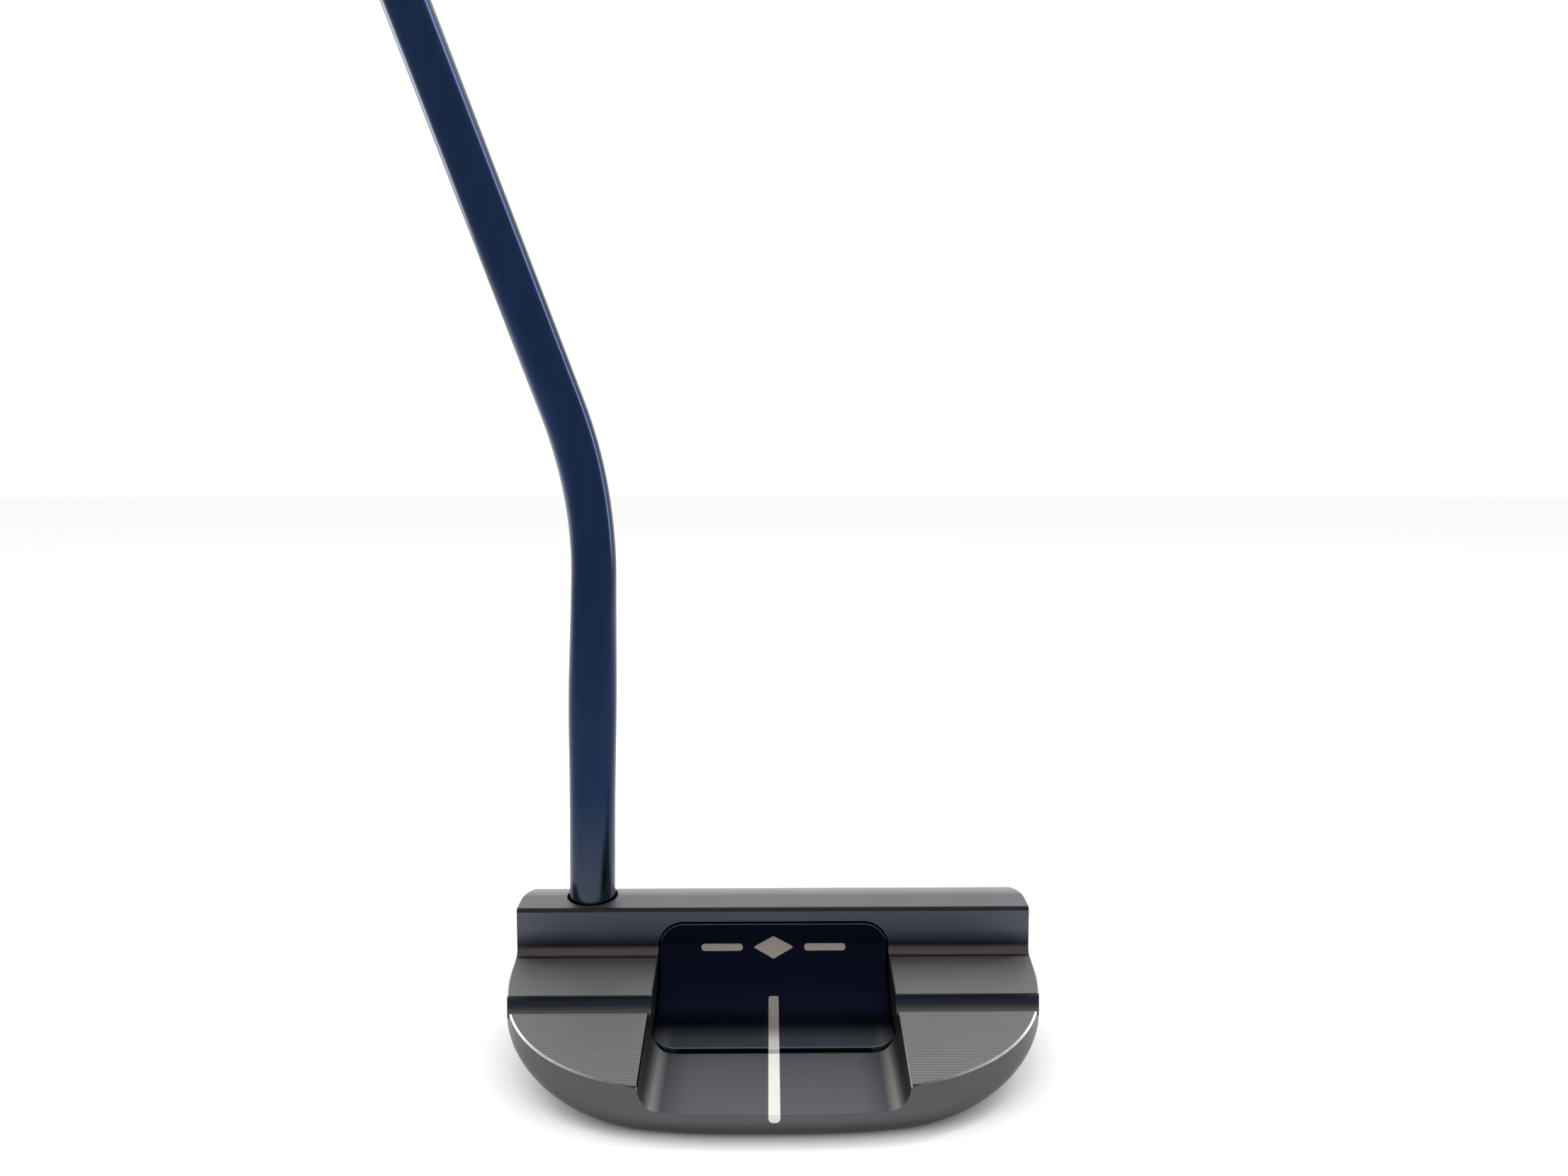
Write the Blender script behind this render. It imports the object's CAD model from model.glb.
from math import acos, asin, atan2, cos, exp, pi, radians, sin, sqrt, tan

import bmesh
import bpy
from bpy.props import FloatProperty, FloatVectorProperty, PointerProperty
from mathutils import Matrix, Vector


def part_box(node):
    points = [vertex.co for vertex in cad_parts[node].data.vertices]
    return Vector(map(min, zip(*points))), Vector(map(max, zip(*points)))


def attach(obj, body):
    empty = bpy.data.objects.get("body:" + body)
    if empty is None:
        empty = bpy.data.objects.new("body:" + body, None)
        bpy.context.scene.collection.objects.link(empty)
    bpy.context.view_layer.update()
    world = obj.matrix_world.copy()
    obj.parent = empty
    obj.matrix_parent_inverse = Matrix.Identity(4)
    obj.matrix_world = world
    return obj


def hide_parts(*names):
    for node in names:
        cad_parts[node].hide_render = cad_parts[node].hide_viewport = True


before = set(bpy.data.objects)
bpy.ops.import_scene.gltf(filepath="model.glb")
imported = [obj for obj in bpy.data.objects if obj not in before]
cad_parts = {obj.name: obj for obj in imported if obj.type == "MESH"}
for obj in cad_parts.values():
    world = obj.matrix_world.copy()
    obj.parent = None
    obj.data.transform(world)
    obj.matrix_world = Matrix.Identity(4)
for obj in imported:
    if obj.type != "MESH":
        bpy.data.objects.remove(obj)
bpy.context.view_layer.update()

bl_info = {
    "name": "Mid-mallet Putter",
    "version": (1, 0, 0),
    "blender": (4, 5, 0),
    "location": "3D View > Sidebar > Putter",
    "description": "Builds the finished look of a mid-mallet putter on its packed frame",
    "category": "Object",
}

# The frame is +Z up from the sole, +X towards the toe and +Y out of the striking face, in metres.
mm = 0.001
AXES = {
    "X": (Vector((0, 1, 0)), Vector((0, 0, 1)), Vector((1, 0, 0))),
    "Y": (Vector((1, 0, 0)), Vector((0, 0, 1)), Vector((0, 1, 0))),
    "Z": (Vector((1, 0, 0)), Vector((0, 1, 0)), Vector((0, 0, 1))),
}
FAR = 90 * mm  # how far a cutter runs past the head


# ------------------------------------------------------------------ properties

def linear(code):
    """Turns a six-digit sRGB hex colour into the linear colour that shaders use."""
    values = [int(code[i:i + 2], 16) / 255 for i in (0, 2, 4)]
    return tuple(v / 12.92 if v <= 0.04045 else ((v + 0.055) / 1.055) ** 2.4 for v in values)


def length(name, millimetres, description):
    return FloatProperty(name=name, description=description, default=millimetres * mm,
                         unit="LENGTH", subtype="DISTANCE", precision=5)


def angle(name, degrees, description):
    return FloatProperty(name=name, description=description, default=radians(degrees),
                         unit="ROTATION", subtype="ANGLE")


def colour(name, code, description):
    return FloatVectorProperty(name=name, description=description, default=linear(code),
                               subtype="COLOR", size=3, min=0, max=1)


class HeadSizes(bpy.types.PropertyGroup):
    half_width: length("Half width", 51.9, "From the middle of the head to its heel or toe end")
    face_foot_y: length("Face foot", 28.6, "Front-most line of the striking face")
    wall_y: length("Wall", 15, "Rear wall of the rail, behind the striking face")
    rear_depth: length("Rear depth", 41.5, "From the wall to the rear of the wings")
    outline_power: FloatProperty(name="Outline power", default=2.8,
                                 description="Exponent of the rounded rear outline")
    corner_radius: length("Rail corner", 9, "Radius of the rail's ends, seen from above")
    rear_flare: FloatProperty(name="Rear flare", default=0.035,
                              description="Growth of the rear wall towards the sole")
    flare_top: length("Flare top", 8.5, "Height at which the flare is zero")
    loft: angle("Loft", 3, "How far the striking face leans back")
    rail_z: length("Rail height", 25.1, "Height of the rail at its rear edge")
    rail_slope: angle("Rail slope", 4.5, "Rise of the rail's top towards the face")
    rail_end_drop: length("Rail end drop", 1.5, "Fall of the rail's top line beyond its ends")
    rail_front_radius: length("Rail front radius", 3, "Rounding between the rail and the face")
    rail_rear_radius: length("Rail rear radius", 0.75, "Rounding along the rail's rear edge")
    wall_fillet: length("Wall fillet", 1.8, "Hollow rounding at the foot of the wall")
    crown_radius: length("Crown radius", 318, "Radius of the wings' tops, front to back")
    crown_slope: angle("Crown slope", 6.5, "Slope of the wings' tops where they meet the wall")
    crown_wall_z: length("Crown height", 15.7, "Height of the wings' tops at the wall")
    crown_chamfer: length("Crown chamfer", 0.22, "Chamfer along the outer edge of the wings")
    slot_y: length("Slot position", -2.65, "Middle of the slot across each wing")
    slot_width: length("Slot width", 5.5, "Width of the slot across each wing")
    slot_floor_z: length("Slot floor", 10.8, "Height of the slot's lowest line")
    slot_chamfer: length("Slot chamfer", 0.12, "Chamfer along both edges of the slot")
    channel_half: length("Channel half width", 23.3, "Half the width between the wings")
    channel_floor_z: length("Channel floor", 5.2, "Height of the channel's floor")
    channel_fillet: length("Channel fillet", 3.4, "Hollow rounding along the channel's sides")
    channel_slope: angle("Channel slope", 2.7, "Rise of the channel's floor towards the face")
    channel_level_y: length("Channel level", -19, "Where the sloping floor has its stated height")
    edge_break: length("Edge break", 0.2, "Broken edge between the wings and the channel")
    land_half: length("Land half width", 24, "Half the width of the flat part of the sole")
    end_radius: length("Sole end radius", 63, "Radius of the sole beyond the flat part")
    sole_edge: length("Sole edge radius", 4.5, "Rounding between the sole and the walls")


class InsertSizes(bpy.types.PropertyGroup):
    half_width: length("Half width", 23, "Half the width of the cavity insert")
    face_y: length("Face", 14.6, "Front-to-back place of the insert's upright")
    back_y: length("Back", 17.7, "Hidden back of the upright")
    rear_y: length("Rear edge", -6.9, "Rear edge of the insert's floor")
    top_z: length("Top", 22, "Top edge of the upright")
    floor_z: length("Floor", 6.6, "Height of the insert's floor")
    under_z: length("Underside", 4.1, "Hidden underside of the insert's floor")
    sweep: length("Sweep", 12, "Hollow radius between upright and floor")
    back_corner: length("Back corner", 8, "Radius of the hidden back corner")
    top_corner: length("Top corner", 4.8, "Radius of the upper corners")
    rear_corner: length("Rear corner", 5.5, "Radius of the rear corners")
    edge: length("Edge break", 0.3, "Rounding of the insert's outer edges")
    seam: length("Seam", 0.3, "Gap between the insert and its pocket")
    sight_width: length("Sight line width", 2.05, "Width of the sight line")
    sight_top_y: length("Sight line top", 9.9, "Where the sight line's round upper end lies")
    sight_corner: length("Sight line corner", 0.85, "Corner radius of the sight line's lower end")
    sight_end_z: length("Sight line end", 3.45, "How far down the rear wall the sight line runs")
    fill_depth: length("Fill depth", 0.5, "Depth of the painted grooves")
    fill_sink: length("Fill sink", 0.05, "How far the paint lies below the surface")
    emblem_z: length("Emblem height", 17.2, "Middle of the emblem above the sole")
    lozenge_width: length("Lozenge width", 8.4, "Width of the emblem's lozenge")
    lozenge_height: length("Lozenge height", 4.6, "Height of the emblem's lozenge")
    bar_x: length("Bar position", 10.4, "Middle of each bar beside the lozenge")
    bar_width: length("Bar width", 8.4, "Width of each bar")
    bar_height: length("Bar height", 1.5, "Height of each bar")


class SoleSizes(bpy.types.PropertyGroup):
    plate_half: length("Plate half width", 23.5, "Half the width of the sole plate")
    plate_rear_y: length("Plate rear", -15, "Rear edge of the sole plate")
    plate_front_y: length("Plate front", 25, "Front edge of the sole plate")
    plate_corner: length("Plate corner", 5, "Corner radius of the sole plate")
    plate_top_z: length("Plate top", 2.7, "Thickness of the sole plate")
    gap: length("Gap", 0.3, "Clearance round the plate, the screws and the weights")
    screw_radius: length("Screw radius", 1.5, "Outer radius of the screws' threads")
    screw_head: length("Screw head radius", 2.7, "Radius of the screws' heads")
    screw_head_height: length("Screw head height", 1.6, "Height of the screws' heads")
    screw_top: length("Screw top", 5.9, "Height at which the screws end")
    hexagon: length("Hexagon", 1.15, "Radius of the socket in each screw's head")
    weight_x: length("Weight position", 35, "Distance of each weight from the middle")
    weight_y: length("Weight depth position", -3, "Front-to-back place of the weights")
    weight_radius: length("Weight radius", 6.2, "Radius of the sole weights")
    weight_recess: length("Weight recess", 0.5, "How far each weight lies inside the sole")
    weight_height: length("Weight height", 6, "Height of the sole weights")
    pin_x: length("Spanner hole position", 3.6, "Distance of a spanner hole from the middle")
    pin_radius: length("Spanner hole radius", 0.9, "Radius of the two spanner holes")
    pin_depth: length("Spanner hole depth", 2.2, "Depth of the two spanner holes")


class ShaftSizes(bpy.types.PropertyGroup):
    bore_x: length("Bore position", -37.8, "Heel-to-toe place of the shaft bore")
    bore_y: length("Bore depth position", 21.75, "Front-to-back place of the shaft bore")
    bore_z: length("Bore bottom", 4, "Height of the bottom of the shaft bore")
    bore_radius: length("Bore radius", 5.2, "Radius of the shaft bore")
    bore_tilt: angle("Bore tilt", 0.75, "Lean of the bore towards the toe")
    tip_radius: length("Tip radius", 4.7, "Radius of the shaft's parallel tip")
    butt_radius: length("Butt radius", 7.45, "Radius of the shaft at its upper end")
    start: length("Start", 0.5, "Distance of the tip from the bottom of the bore")
    butt: length("Butt", 880, "Length along the shaft to its upper end")
    taper_start: length("Taper start", 330, "Where the shaft begins to widen")
    forward_centre: length("Forward bend", 61.7, "Middle of the lower bend, along the shaft")
    forward_radius: length("Forward bend radius", 150, "Radius of the lower bend")
    forward_angle: angle("Forward bend angle", 4.5, "How far the lower bend leans forwards")
    lie_centre: length("Lie bend", 105, "Middle of the upper bend, along the shaft")
    lie_radius: length("Lie bend radius", 95, "Radius of the upper bend")
    lean: angle("Lean", 20.4, "Lean of the upper shaft towards the heel")


class GripSizes(bpy.types.PropertyGroup):
    length: length("Length", 260, "Length of the grip")
    mouth_half: length("Mouth half width", 10.2, "Half the width of the grip at its mouth")
    butt_half: length("Butt half width", 14, "Half the width of the grip at its butt")
    pistol: length("Pistol bulge", 3.2, "Fullness of the palm side near the butt")
    lip: length("Lip", 1.6, "Height over which the mouth tapers on to the shaft")
    cap: length("Cap", 3, "Thickness of the end cap")
    gap: length("Gap", 0.3, "Clearance between the grip and its cap")
    vent: length("Vent radius", 1.5, "Radius of the vent in the cap")


class Finishes(bpy.types.PropertyGroup):
    satin: colour("Rim", "535456", "Darkened stainless steel of the rim, the face and the sole")
    rail: colour("Rail", "6c6d6f", "The steel along the rear edge of the rail's top")
    rail_front: colour("Rail front", "b4b4b6", "The steel where the rail's top turns down to the face")
    wall: colour("Wall", "4d4f58", "The steel at the top of the rail's rear wall")
    wall_low: colour("Lower wall", "1f2330", "The steel low on the rail's rear wall")
    wall_foot: colour("Wall foot", "4b4343", "The steel in the hollow at the foot of the wall")
    channel: colour("Channel", "5d5e62", "The steel of the channel's floor")
    channel_hollow: colour("Channel hollow", "4b4c52", "The steel between the burnished sides and the floor")
    channel_side: colour("Channel side", "80827d", "The steel that a round cutter has burnished beside the floor")
    slot: colour("Slot", "252932", "The steel at the bottom of the slots")
    slot_side: colour("Slot side", "46433f", "The steel at the sides of the slots")
    crown: colour("Milled steel", "6d6d6c", "The steel of the wings' tops, where the cutter's passes show")
    edge: colour("Bright edge", "a8a9aa", "Steel where the finish has rubbed off the edges")
    edge_dark: colour("Dark edge", "303133", "The same edge towards the rear, where it is less rubbed")
    lip: colour("Lip", "2c282b", "Polished rounding along the rail's rear edge")
    insert: colour("Insert", "0c0f1c", "Black anodised aluminium with a blue cast")
    insert_floor: colour("Insert floor", "4c505b", "The insert's floor, where handling has dulled it")
    insert_side: colour("Insert side", "43463f", "A burnished strip along each side of the insert's floor")
    insert_edge: colour("Insert edge", "4d515b", "The insert's edges, where the anodising has worn")
    sight: colour("Sight line", "d6d6d1", "White paint of the sight line")
    sight_seam: colour("Sight line seam", "b0afa9", "The same paint on the insert's floor, a little dirty")
    sight_top: colour("Sight line top", "766f68", "The same paint where it has been wiped thin")
    emblem: colour("Emblem", "8f857c", "Warm grey paint of the emblem")
    shaft: colour("Shaft", "1b2a45", "Blue-black coating of the shaft")
    shaft_foot: colour("Shaft foot", "363e49", "The shaft's coating just above the head")
    hardware: colour("Hardware", "b4b2ad", "Turned stainless steel of screws and weights")
    rubber: colour("Rubber", "1c1c1e", "Black rubber of the grip and its cap")
    epoxy: colour("Epoxy", "3a3326", "Cured adhesive in the shaft bore")
    cork: colour("Cork", "9b7a54", "Cork of the tip plug")
    film: colour("Film", "30302e", "Damping film under the insert")
    tape: colour("Tape", "d9d3c4", "Paper tape under the grip")
    floor: colour("Floor", "fbfaf8", "Pale matt floor")


class StageSettings(bpy.types.PropertyGroup):
    camera: FloatVectorProperty(name="Camera", size=3, default=(-0.0007, -0.217, 0.1105),
                                subtype="TRANSLATION", unit="LENGTH",
                                description="Where the camera stands")
    pitch: angle("Camera pitch", 5, "How far the camera looks down")
    yaw: angle("Camera yaw", 0.7, "How far the camera looks to the right")
    lens: FloatProperty(name="Lens", default=27.05, unit="CAMERA",
                        description="Focal length on a 36 mm wide sensor")
    floor_radius: FloatProperty(name="Floor radius", default=12.0, unit="LENGTH",
                                description="Radius of the round floor")
    sky: FloatProperty(name="Sky", default=1.0, description="Brightness of the pale surroundings")
    top_power: FloatProperty(name="Top light", default=6.0, unit="POWER",
                             description="Power of the large soft light above and behind")
    side_power: FloatProperty(name="Side lights", default=7.0, unit="POWER",
                              description="Power of the tall soft light on either side")


# ------------------------------------------------------------------ solids

def draw_out(bm, step, count):
    """Extrudes the only face of a bmesh, as many times as asked, into a closed bar."""
    bm.faces.ensure_lookup_table()
    end = [bm.faces[0]]
    for number in range(count):
        grown = bmesh.ops.extrude_face_region(bm, geom=end)["geom"]
        if number:
            bmesh.ops.delete(bm, geom=end, context="FACES_ONLY")
        end = [item for item in grown if isinstance(item, bmesh.types.BMFace)]
        lifted = [item for item in grown if isinstance(item, bmesh.types.BMVert)]
        bmesh.ops.translate(bm, verts=lifted, vec=step)
    bmesh.ops.recalc_face_normals(bm, faces=bm.faces)


def prism(corners, axis, low, high, segments=10, steps=1):
    """A closed bar along an axis. A corner is (across, up) or, where it is rounded, (across, up, radius)."""
    across, up, along = AXES[axis]
    flat = [Vector(corner[:2]) for corner in corners]
    bm = bmesh.new()
    verts = [bm.verts.new(across * u + up * v + along * low) for u, v in flat]
    bm.faces.new(verts)
    for i, corner in enumerate(corners):
        if len(corner) == 3:
            before = flat[i - 1] - flat[i]
            after = flat[(i + 1) % len(flat)] - flat[i]
            setback = corner[2] / tan(before.angle(after) / 2)
            bmesh.ops.bevel(bm, geom=[verts[i]], affect="VERTICES", offset=setback,
                            offset_type="OFFSET", segments=segments, profile=0.5, material=-1)
    draw_out(bm, along * ((high - low) / steps), steps)
    return bm


def rod(x, y, radius, low, high, sides=64):
    """A closed upright cylinder."""
    bm = bmesh.new()
    bmesh.ops.create_cone(bm, cap_ends=True, segments=sides, radius1=radius, radius2=radius,
                          depth=high - low, matrix=Matrix.Translation((x, y, (low + high) / 2)))
    return bm


def turned(profile, sides=64):
    """A closed solid of revolution about Z, from (radius, height) points that begin and end on the axis."""
    bm = bmesh.new()
    verts = [bm.verts.new((radius, 0, height)) for radius, height in profile]
    edges = [bm.edges.new(pair) for pair in zip(verts, verts[1:])]
    bmesh.ops.spin(bm, geom=verts + edges, cent=(0, 0, 0), axis=(0, 0, 1), dvec=(0, 0, 0),
                   angle=2 * pi, steps=sides, use_merge=True)
    bmesh.ops.remove_doubles(bm, verts=bm.verts, dist=0.001 * mm)
    bmesh.ops.recalc_face_normals(bm, faces=bm.faces)
    return bm


def combine(base, tools, operation="DIFFERENCE"):
    """Cuts, joins or intersects a solid with others, and frees them all."""
    blanks = []
    for bm in (base, *tools):
        mesh = bpy.data.meshes.new("blank")
        bm.to_mesh(mesh)
        bm.free()
        blanks.append(bpy.data.objects.new("blank", mesh))
        bpy.context.scene.collection.objects.link(blanks[-1])
    for tool in blanks[1:]:
        cut = blanks[0].modifiers.new("cut", "BOOLEAN")
        cut.operation = operation
        cut.solver = "EXACT"
        cut.object = tool
    result = bmesh.new()
    result.from_object(blanks[0], bpy.context.evaluated_depsgraph_get())
    for blank in blanks:
        bpy.data.meshes.remove(blank.data)
    return result


def moved(bm, matrix):
    bmesh.ops.transform(bm, matrix=matrix, verts=bm.verts)
    return bm


def soften(bm, edges, radius, segments=3):
    """Rounds the given edges."""
    bmesh.ops.bevel(bm, geom=list(edges), affect="EDGES", offset=radius, offset_type="OFFSET",
                    segments=segments, profile=0.5, material=-1, clamp_overlap=True)
    return bm


def sharp_edges(bm, least=40):
    return [e for e in bm.edges if len(e.link_faces) == 2 and e.calc_face_angle() > radians(least)]


def finish_piece(name, bm, materials, nodes, sharp=28, faces=None):
    """Makes a piece of a solid: smooth but for its sharp edges, riding on the putter, in place of CAD nodes."""
    bmesh.ops.remove_doubles(bm, verts=bm.verts, dist=0.0005 * mm)
    if faces:
        for face in bm.faces:
            face.material_index = faces(face)
    for face in bm.faces:
        face.smooth = True
    for edge in bm.edges:
        edge.smooth = len(edge.link_faces) != 2 or edge.calc_face_angle() < radians(sharp)
    mesh = bpy.data.meshes.new(name)
    bm.to_mesh(mesh)
    bm.free()
    for material in materials:
        mesh.materials.append(material)
    piece = bpy.data.objects.new(name, mesh)
    bpy.context.scene.collection.objects.link(piece)
    weigh = piece.modifiers.new("even shading", "WEIGHTED_NORMAL")
    weigh.keep_sharp = True
    weigh.weight = 100
    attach(piece, "root")
    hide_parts(*nodes)
    return piece


# ------------------------------------------------------------------ materials

def add(tree, kind, inputs=None, **settings):
    """Adds a node with its settings, its values and its links."""
    node = tree.nodes.new(kind)
    for key, value in settings.items():
        setattr(node, key, value)
    for key, value in (inputs or {}).items():
        if isinstance(value, bpy.types.NodeSocket):
            tree.links.new(value, node.inputs[key])
        else:
            node.inputs[key].default_value = value
    return node


def start_material(name, **values):
    """A material with its shader's constant values set, its node tree and its shader."""
    material = bpy.data.materials.new(name)
    material.use_nodes = True
    tree = material.node_tree
    shader = tree.nodes["Principled BSDF"]
    for key, value in values.items():
        shader.inputs[key.replace("_", " ")].default_value = value
    return material, tree, shader


def shades(tree, factor, base, dark, light):
    """A ramp of one colour from dark to light."""
    ramp = add(tree, "ShaderNodeValToRGB", {"Fac": factor})
    ramp.color_ramp.elements[0].position = 0.25
    ramp.color_ramp.elements[1].position = 0.75
    ramp.color_ramp.elements[0].color = (*(c * dark for c in base), 1)
    ramp.color_ramp.elements[1].color = (*(min(c * light, 1) for c in base), 1)
    return ramp.outputs["Color"]


def spread(tree, factor, low, high):
    """A number that runs from low to high as factor runs from 0 to 1."""
    return add(tree, "ShaderNodeMapRange", {"Value": factor, "To Min": low, "To Max": high}).outputs["Result"]


def object_place(tree, scale=(1, 1, 1)):
    place = add(tree, "ShaderNodeTexCoord").outputs["Object"]
    return add(tree, "ShaderNodeMapping", {"Vector": place, "Scale": scale}).outputs["Vector"]


def by_place(tree, axis, stops):
    """A colour that changes along an axis of the putter, through (place, colour) stops."""
    low, high = stops[0][0], stops[-1][0]
    along = add(tree, "ShaderNodeSeparateXYZ",
                {"Vector": add(tree, "ShaderNodeTexCoord").outputs["Object"]}).outputs[axis]
    factor = add(tree, "ShaderNodeMapRange", {"Value": along, "From Min": low, "From Max": high}).outputs["Result"]
    ramp = add(tree, "ShaderNodeValToRGB", {"Fac": factor})
    marks = ramp.color_ramp.elements
    while len(marks) < len(stops):
        marks.new(0.5)
    for mark, (place, tone) in zip(marks, stops):
        mark.position = (place - low) / (high - low)
        mark.color = (*tone, 1)
    return ramp.outputs["Color"]


def clouded(tree, tone, factor, dark, light):
    """A colour made a little darker and lighter in places."""
    patches = shades(tree, factor, (0.9, 0.9, 0.9), dark, light)
    return add(tree, "ShaderNodeMix", {0: 1.0, 6: tone, 7: patches},
               data_type="RGBA", blend_type="MULTIPLY").outputs[2]


def satin_steel(name, axis, stops):
    """Stainless steel, milled, fine blasted and darkened: an even satin sheen with a faint cloudiness."""
    material, tree, shader = start_material(name, Metallic=1.0)
    # Blast marks are about 0.05 mm, too fine to show, so the grain is drawn at 0.25 mm.
    grain = add(tree, "ShaderNodeTexNoise", {"Vector": object_place(tree), "Scale": 1 / (0.25 * mm),
                                             "Detail": 3.0}).outputs["Fac"]
    cloud = add(tree, "ShaderNodeTexNoise", {"Vector": object_place(tree), "Scale": 1 / (9 * mm),
                                             "Detail": 2.0}).outputs["Fac"]
    tone = by_place(tree, axis, stops)
    tree.links.new(clouded(tree, tone, cloud, 1.04, 1.18), shader.inputs["Base Color"])
    tree.links.new(spread(tree, grain, 0.36, 0.46), shader.inputs["Roughness"])
    edge = add(tree, "ShaderNodeBevel", {"Radius": 0.22 * mm}, samples=6).outputs["Normal"]
    bump = add(tree, "ShaderNodeBump", {"Height": grain, "Strength": 0.12, "Distance": 0.02 * mm,
                                        "Normal": edge})
    tree.links.new(bump.outputs["Normal"], shader.inputs["Normal"])
    return material


def polished_edge(name, axis, stops):
    """The same steel along an edge, where handling or a polishing wheel has smoothed it."""
    material, tree, shader = start_material(name, Metallic=1.0)
    wear = add(tree, "ShaderNodeTexNoise", {"Vector": object_place(tree), "Scale": 1 / (1.5 * mm),
                                            "Detail": 3.0}).outputs["Fac"]
    tree.links.new(clouded(tree, by_place(tree, axis, stops), wear, 0.95, 1.25), shader.inputs["Base Color"])
    tree.links.new(spread(tree, wear, 0.25, 0.4), shader.inputs["Roughness"])
    return material


def milled_steel(base):
    """The same steel as a ball-nosed cutter leaves it: fine parallel ridges, each with a light and a dark flank."""
    material, tree, shader = start_material("milled_stainless_steel", Metallic=1.0, Roughness=0.56)
    place = object_place(tree)
    # One pass of the cutter every 0.66 mm, front to back.
    passes = add(tree, "ShaderNodeTexWave",
                 {"Vector": place, "Scale": 2 * pi / (20 * 0.66 * mm), "Distortion": 0.0},
                 bands_direction="Y", wave_profile="SIN").outputs["Fac"]
    streak = add(tree, "ShaderNodeTexNoise",
                 {"Vector": object_place(tree, (0.05, 1, 1)), "Scale": 1 / (0.7 * mm), "Detail": 2.0}).outputs["Fac"]
    mixed = add(tree, "ShaderNodeMix", {"Factor": 0.25, "A": passes, "B": streak}).outputs["Result"]
    tree.links.new(shades(tree, mixed, base, 0.84, 1.12), shader.inputs["Base Color"])
    edge = add(tree, "ShaderNodeBevel", {"Radius": 0.22 * mm}, samples=6).outputs["Normal"]
    bump = add(tree, "ShaderNodeBump", {"Height": mixed, "Strength": 0.4, "Distance": 0.035 * mm,
                                        "Normal": edge})
    tree.links.new(bump.outputs["Normal"], shader.inputs["Normal"])
    return material


def anodised_aluminium(name, stops, strips=None):
    """Aluminium, bead blasted and black anodised: a deep blue-black, dulled and burnished a little on its floor."""
    material, tree, shader = start_material(name, Metallic=1.0)
    # Bead marks are about 0.05 mm, too fine to show, so the grain is drawn at 0.2 mm.
    grain = add(tree, "ShaderNodeTexNoise", {"Vector": object_place(tree), "Scale": 1 / (0.2 * mm),
                                             "Detail": 2.0}).outputs["Fac"]
    cloud = add(tree, "ShaderNodeTexNoise", {"Vector": object_place(tree), "Scale": 1 / (12 * mm),
                                             "Detail": 2.0}).outputs["Fac"]
    tone = by_place(tree, "Y", stops)
    if strips:
        tone = add(tree, "ShaderNodeMix", {6: tone, 7: by_place(tree, "X", strips)},
                   data_type="RGBA", blend_type="ADD", clamp_factor=True)
        tree.links.new(by_place(tree, "Y", [(-2 * mm, (1, 1, 1)), (2 * mm, (0, 0, 0))]), tone.inputs[0])
        tone = tone.outputs[2]
    tree.links.new(clouded(tree, tone, cloud, 1.0, 1.2), shader.inputs["Base Color"])
    tree.links.new(spread(tree, grain, 0.36, 0.48), shader.inputs["Roughness"])
    edge = add(tree, "ShaderNodeBevel", {"Radius": 0.15 * mm}, samples=6).outputs["Normal"]
    bump = add(tree, "ShaderNodeBump", {"Height": grain, "Strength": 0.15, "Distance": 0.02 * mm,
                                        "Normal": edge})
    tree.links.new(bump.outputs["Normal"], shader.inputs["Normal"])
    return material


def fill_paint(name, stops):
    """Enamel run into a groove and wiped level: slightly uneven, and greyer towards the face, where it is thin."""
    material, tree, shader = start_material(name, Metallic=0.0)
    cloud = add(tree, "ShaderNodeTexNoise", {"Vector": object_place(tree), "Scale": 1 / (1.5 * mm),
                                             "Detail": 4.0}).outputs["Fac"]
    tone = by_place(tree, "Y", stops)
    tree.links.new(clouded(tree, tone, cloud, 1.02, 1.14), shader.inputs["Base Color"])
    tree.links.new(spread(tree, cloud, 0.32, 0.5), shader.inputs["Roughness"])
    bump = add(tree, "ShaderNodeBump", {"Height": cloud, "Strength": 0.2, "Distance": 0.03 * mm})
    tree.links.new(bump.outputs["Normal"], shader.inputs["Normal"])
    return material


def coated_shaft(base, foot):
    """Steel tube, polished and coated blue-black: a deep gloss with faint draw lines along it."""
    material, tree, shader = start_material("gloss_coated_steel", Metallic=1.0)
    lines = add(tree, "ShaderNodeTexNoise", {"Vector": object_place(tree, (1, 1, 0.03)),
                                             "Scale": 1 / (1.2 * mm), "Detail": 2.0}).outputs["Fac"]
    tone = by_place(tree, "Z", [(27 * mm, foot), (48 * mm, base)])
    tree.links.new(clouded(tree, tone, lines, 1.0, 1.2), shader.inputs["Base Color"])
    tree.links.new(spread(tree, lines, 0.13, 0.2), shader.inputs["Roughness"])
    return material


def turned_steel(base):
    """Stainless steel, turned and left bright: fine tool marks and a clean edge."""
    material, tree, shader = start_material("turned_stainless_steel", Metallic=1.0)
    marks = add(tree, "ShaderNodeTexNoise", {"Vector": object_place(tree), "Scale": 1 / (0.4 * mm),
                                             "Detail": 3.0}).outputs["Fac"]
    tree.links.new(shades(tree, marks, base, 0.9, 1.08), shader.inputs["Base Color"])
    tree.links.new(spread(tree, marks, 0.24, 0.34), shader.inputs["Roughness"])
    edge = add(tree, "ShaderNodeBevel", {"Radius": 0.12 * mm}, samples=6).outputs["Normal"]
    bump = add(tree, "ShaderNodeBump", {"Height": marks, "Strength": 0.2, "Distance": 0.02 * mm,
                                        "Normal": edge})
    tree.links.new(bump.outputs["Normal"], shader.inputs["Normal"])
    return material


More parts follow.
